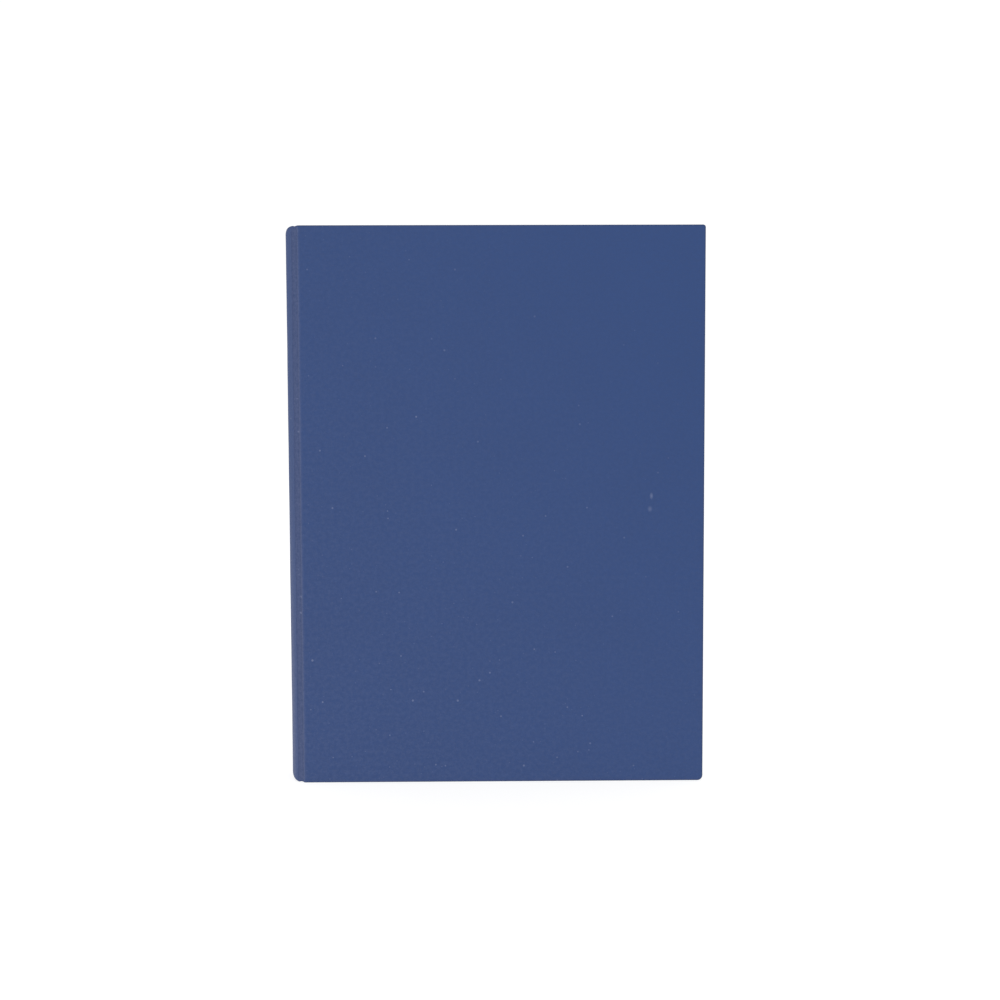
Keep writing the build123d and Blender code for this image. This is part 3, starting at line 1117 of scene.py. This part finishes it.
@dataclass
class Endpaper:
    """The folded endpaper of one side: pasted half, the turn at the joint, and the flyleaf."""

    side: Side
    arc: SpineArc
    turn_in: float = 15.0
    flange: float = 22.0
    relief: float = 0.1
    bend_mm: float = 12.0
    # direction, in x and y, from the turn's start towards where it meets the cover
    bend_way: Flat = (1.0, 2.0)

    def pasted_half(self) -> bpy.types.Object:
        """The pastedown, with the edges of the turn-ins showing through it.

        Returns:
            The sheet.
        """
        sign = self.side.value
        low, high = box_mm("back_pastedown")
        flange_low, flange_high = box_mm("back_mull_flange")
        width, _, cover_top = box_mm("back_cover_cloth")[1]
        surface = Surface(f"{self.side.prefix}_pastedown_sheet")
        base, top = low[2], high[2]
        fore, upper, flange_x = width - self.turn_in, cover_top - self.turn_in, self.arc.hinge_x + self.flange
        steps = [0.0, 0.25, 0.5, 0.75, 1.0]
        xs = sorted({low[0], high[0], *[flange_x + s for s in steps], *[fore - s for s in steps],
                     *np.linspace(low[0], high[0], 9)})
        zs = sorted({base, top, *[self.turn_in + s for s in steps], *[upper - s for s in steps],
                     *[flange_low[2] - s for s in steps], *[flange_high[2] + s for s in steps],
                     *np.linspace(base, top, 12)})
        grids: list[list[list[int]]] = []
        for under in (False, True):
            rows = []
            for z in zs:
                row = []
                for x in xs:
                    on_edge = 1 - ease(min(fore - x, z - self.turn_in, upper - z))
                    inside_z = min(z - flange_low[2], flange_high[2] - z)
                    on_flange = (1 - ease(x - self.arc.hinge_x - self.flange)) * ease(1 + inside_z) * 0.6
                    y = high[1] if under else low[1] + self.relief * (1 - max(on_edge, on_flange))
                    laid = (high[0] - x, z - base, 3.0 if under else 5.0)
                    row.append(surface.point((x, sign * y, z), laid))
                rows.append(row)
            surface.strip(rows if under else [row[::-1] for row in rows])
            grids.append(rows)
        face, rear = grids
        for pair in ((face[0], rear[0]), (rear[-1], face[-1]),
                     ([row[-1] for row in face], [row[-1] for row in rear]),
                     ([row[0] for row in rear], [row[0] for row in face])):
            surface.strip(pair)
        obj = surface.finish()
        dress(obj, ENDPAPER)
        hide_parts(f"{self.side.prefix}_pastedown")
        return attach(obj, f"{self.side.prefix}_cover")

    def turn(self) -> bpy.types.Object:
        """The strip of endpaper that crosses the joint, from the block's edge to the board.

        Returns:
            The strip.
        """
        sign = self.side.value
        guard_low, guard_high = box_mm("back_flyleaf_guard")
        paste_low, paste_high = box_mm("back_pastedown")
        base, top = paste_low[2], paste_high[2]
        start = (guard_low[0] + 0.1, guard_high[1] - 0.1)
        end = (paste_low[0] + 0.4, paste_low[1] + 0.05)
        route = [start, (start[0] - 0.3, start[1] + 0.3), (start[0] - 0.6, start[1] + 0.62),
                 (start[0] - 0.45, start[1] + 0.8), (end[0] - 0.7, end[1] + 0.45),
                 (end[0] - 0.25, end[1] + 0.2), end]
        surface = Surface(f"{self.side.prefix}_endpaper_turn")
        rows = [[surface.point((x, sign * y, z), (i * 0.6, z - base, 4.0)) for i, (x, y) in enumerate(route)]
                for z in np.linspace(base, top, 12)]
        surface.strip(rows)
        obj = surface.finish(flip=sign > 0, thickness=0.1)
        dress(obj, ENDPAPER)
        way_x, way_y = self.bend_way
        share = ((end[0] - start[0]) * way_x + (end[1] - start[1]) * way_y) / (way_x ** 2 + way_y ** 2)
        bend_at_joint(obj, self.side, (start[0] * MM, sign * start[1] * MM, 0),
                      ((start[0] + way_x * share) * MM, sign * (start[1] + way_y * share) * MM, 0))
        return obj

    def flyleaf(self) -> bpy.types.Object:
        """The free endpaper with its glued edge.

        Returns:
            The sheet.
        """
        sign = self.side.value
        low, high = box_mm("back_flyleaf")
        guard_low, guard_high = box_mm("back_flyleaf_guard")
        hinge_x, bottom, top = guard_high[0], low[1], high[1]
        surface = Surface(f"{self.side.prefix}_flyleaf_sheet")
        bending = np.linspace(hinge_x - 0.3, hinge_x + self.bend_mm + 1, 14)
        xs = [guard_low[0], *bending, hinge_x + 60, high[0]]
        loop = [(x, top) for x in xs] + [(x, bottom) for x in xs[::-1]]
        rows = [[surface.point((x, sign * y, z), (high[0] - x, z - low[2], 6.0 + (y == top)))
                 for x, y in loop] for z in (low[2], high[2])]
        surface.strip(rows, closed=True)
        for row, turned in zip(rows, (False, True)):
            surface.cap(row, turned)
        obj = surface.finish()
        dress(obj, ENDPAPER)
        prefix = self.side.prefix
        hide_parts(f"{prefix}_flyleaf", f"{prefix}_flyleaf_guard")
        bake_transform(obj)
        return obj

    def build(self) -> list[bpy.types.Object]:
        """All three parts of the endpaper."""
        return [self.pasted_half(), self.turn(), self.flyleaf()]


@dataclass
class Headband:
    """Bead of thread wound over a cord, sewn across one end of the back, with its tape."""

    end: End
    arc: SpineArc
    bead_mm: float = 1.6
    tape_mm: float = 0.25
    thread_mm: float = 0.5
    steps_per_turn: int = 8
    points_round: int = 14
    tape_points: int = 13

    def build(self) -> bpy.types.Object:
        """Draws the wound bead and the tape below it.

        Returns:
            The headband.
        """
        node = f"headband_{self.end.value}"
        low, high = box_mm(node)
        outer = self.arc.centre_x - low[0]
        bead = self.bead_mm / 2
        radius = outer - bead
        half_angle = math.asin(high[1] / outer)
        at_head = self.end is End.HEAD
        bead_z, tape_z = (high[2] - bead, low[2]) if at_head else (low[2] + bead, high[2])
        surface = Surface(f"{node}_band")
        length = 2 * half_angle * radius
        steps = int(length / self.thread_mm) * self.steps_per_turn
        rows = []
        for i in range(steps + 1):
            share = i / steps
            angle = half_angle * (2 * share - 1)
            groove = abs(math.cos(math.pi * share * length / self.thread_mm))
            close = min(1.0, 3 * min(share, 1 - share) * length / self.bead_mm)
            thick = bead * (0.88 + 0.12 * (1 - groove ** 3)) * math.sqrt(max(close, 0.05))
            row = []
            for k in range(self.points_round):
                turn = 2 * math.pi * k / self.points_round
                out = radius + thick * math.cos(turn)
                place = (self.arc.centre_x - out * math.cos(angle), out * math.sin(angle),
                         bead_z + thick * math.sin(turn))
                row.append(surface.point(place, (share * length, k * 0.36, 0.0)))
            rows.append(row)
        surface.strip(rows, closed=True)
        surface.faces += [tuple(rows[0][::-1]), tuple(rows[-1])]
        line = [(outer - inset, half_angle * (2 * s - 1)) for inset, order in ((0.0, 1), (self.tape_mm, -1))
                for s in np.linspace(0, 1, self.tape_points)[::order]]
        loops = [[surface.point((self.arc.centre_x - r * math.cos(a), r * math.sin(a), z), (r * a, z, 0.0))
                  for r, a in line] for z in (bead_z, tape_z)]
        surface.strip(loops if at_head else loops[::-1], closed=True)
        for loop, turned in zip(loops, (at_head, not at_head)):
            surface.cap(loop, turned)
        obj = surface.finish(sharp_deg=50)
        dress(obj, SILK)
        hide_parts(node)
        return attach(obj, "spine_and_backs")


@dataclass
class HiddenParts:
    """Stiffening and glued parts that keep their CAD shape and get their real finish."""

    finishes: dict[str, Finish] = field(default_factory=lambda: {
        "front_board": MILLBOARD, "back_board": MILLBOARD, "spine_inlay": SPINE_CARD, "spine_lining": KRAFT,
        "mull": MULL, "front_mull_flange": MULL, "back_mull_flange": MULL, "sewing_thread": THREAD})

    def build(self) -> None:
        """Dresses each node."""
        for node, finish in self.finishes.items():
            dress(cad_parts[node], finish)
            LOG.info("%s: %s", node, finish.name)


@dataclass
class Studio:
    """Pale seamless floor, even light all round and one large soft key."""

    floor_m: float = 6.0
    floor_grey: float = 0.3
    floor_glow: float = 0.77
    daylight: float = 1.04
    key_watts: float = 5.0
    key_size_m: float = 1.6
    key_m: Point = (0.9, -1.4, 1.7)
    key_deg: Point = (47, 0, 33)
    camera_mm: Point = (-3.778, -533.697, 142.559)
    camera_deg: Point = (86.1242, 0.1969, -0.6158)
    lens_mm: float = 50.486
    sensor_mm: float = 36.0

    def build(self) -> None:
        """Makes the even light, the floor, the key light and the camera."""
        scene = bpy.context.scene
        scene.view_settings.view_transform = "Standard"
        scene.world = bpy.data.worlds.new("Studio")
        scene.world.use_nodes = True
        sky = scene.world.node_tree
        feed(sky, sky.nodes["Background"], {"Color": (1.0, 1.0, 1.0, 1.0), "Strength": self.daylight})
        self.floor(scene)
        key = bpy.data.lights.new("key", "AREA")
        key.shape = "DISK"
        key.size = self.key_size_m
        key.energy = self.key_watts
        self.place(scene, "key", key, self.key_m, self.key_deg)
        camera = bpy.data.cameras.new("camera")
        camera.sensor_width = self.sensor_mm
        camera.lens = self.lens_mm
        at_m = tuple(v * MM for v in self.camera_mm)
        scene.camera = self.place(scene, "camera", camera, at_m, self.camera_deg)

    def floor(self, scene: bpy.types.Scene) -> None:
        """Makes the floor, whose own glow hides where it ends.

        Args:
            scene: Scene to add it to.
        """
        half = self.floor_m / 2
        surface = bpy.data.meshes.new("floor")
        surface.from_pydata([(-half, -half, 0), (half, -half, 0), (half, half, 0), (-half, half, 0)], [],
                            [(0, 1, 2, 3)])
        floor = bpy.data.objects.new("floor", surface)
        scene.collection.objects.link(floor)
        paper = bpy.data.materials.new("Seamless_paper_white")
        paper.use_nodes = True
        tree = paper.node_tree
        tree.nodes.clear()
        shader = add(tree, "BsdfPrincipled", {
            "Base Color": (*[self.floor_grey] * 3, 1.0), "Roughness": 1.0, "Specular IOR Level": 0.0,
            "Emission Color": (1.0, 1.0, 1.0, 1.0), "Emission Strength": self.floor_glow})
        add(tree, "OutputMaterial", {"Surface": shader})
        surface.materials.append(paper)

    @staticmethod
    def place(scene: bpy.types.Scene, name: str, data: bpy.types.ID, at_m: Point,
              turned_deg: Point) -> bpy.types.Object:
        """Puts a lamp or a camera in the scene.

        Args:
            scene: Scene to add it to.
            name: Name of the object.
            data: Its lamp or camera data.
            at_m: Where it stands, in metres.
            turned_deg: How it is turned.

        Returns:
            The new object.
        """
        holder = bpy.data.objects.new(name, data)
        holder.location = at_m
        holder.rotation_euler = tuple(math.radians(v) for v in turned_deg)
        scene.collection.objects.link(holder)
        return holder


def main() -> None:
    """Builds the book piece by piece, then the studio."""
    arc = SpineArc()
    for side in Side:
        log_piece(CaseCloth(side, arc).build())
        for piece in Endpaper(side, arc).build():
            log_piece(piece)
    for number in range(1, SECTIONS + 1):
        log_piece(Section(number).build())
    for end in End:
        log_piece(Headband(end, arc).build())
    HiddenParts().build()
    Studio().build()


if __name__ == "__main__":
    main()
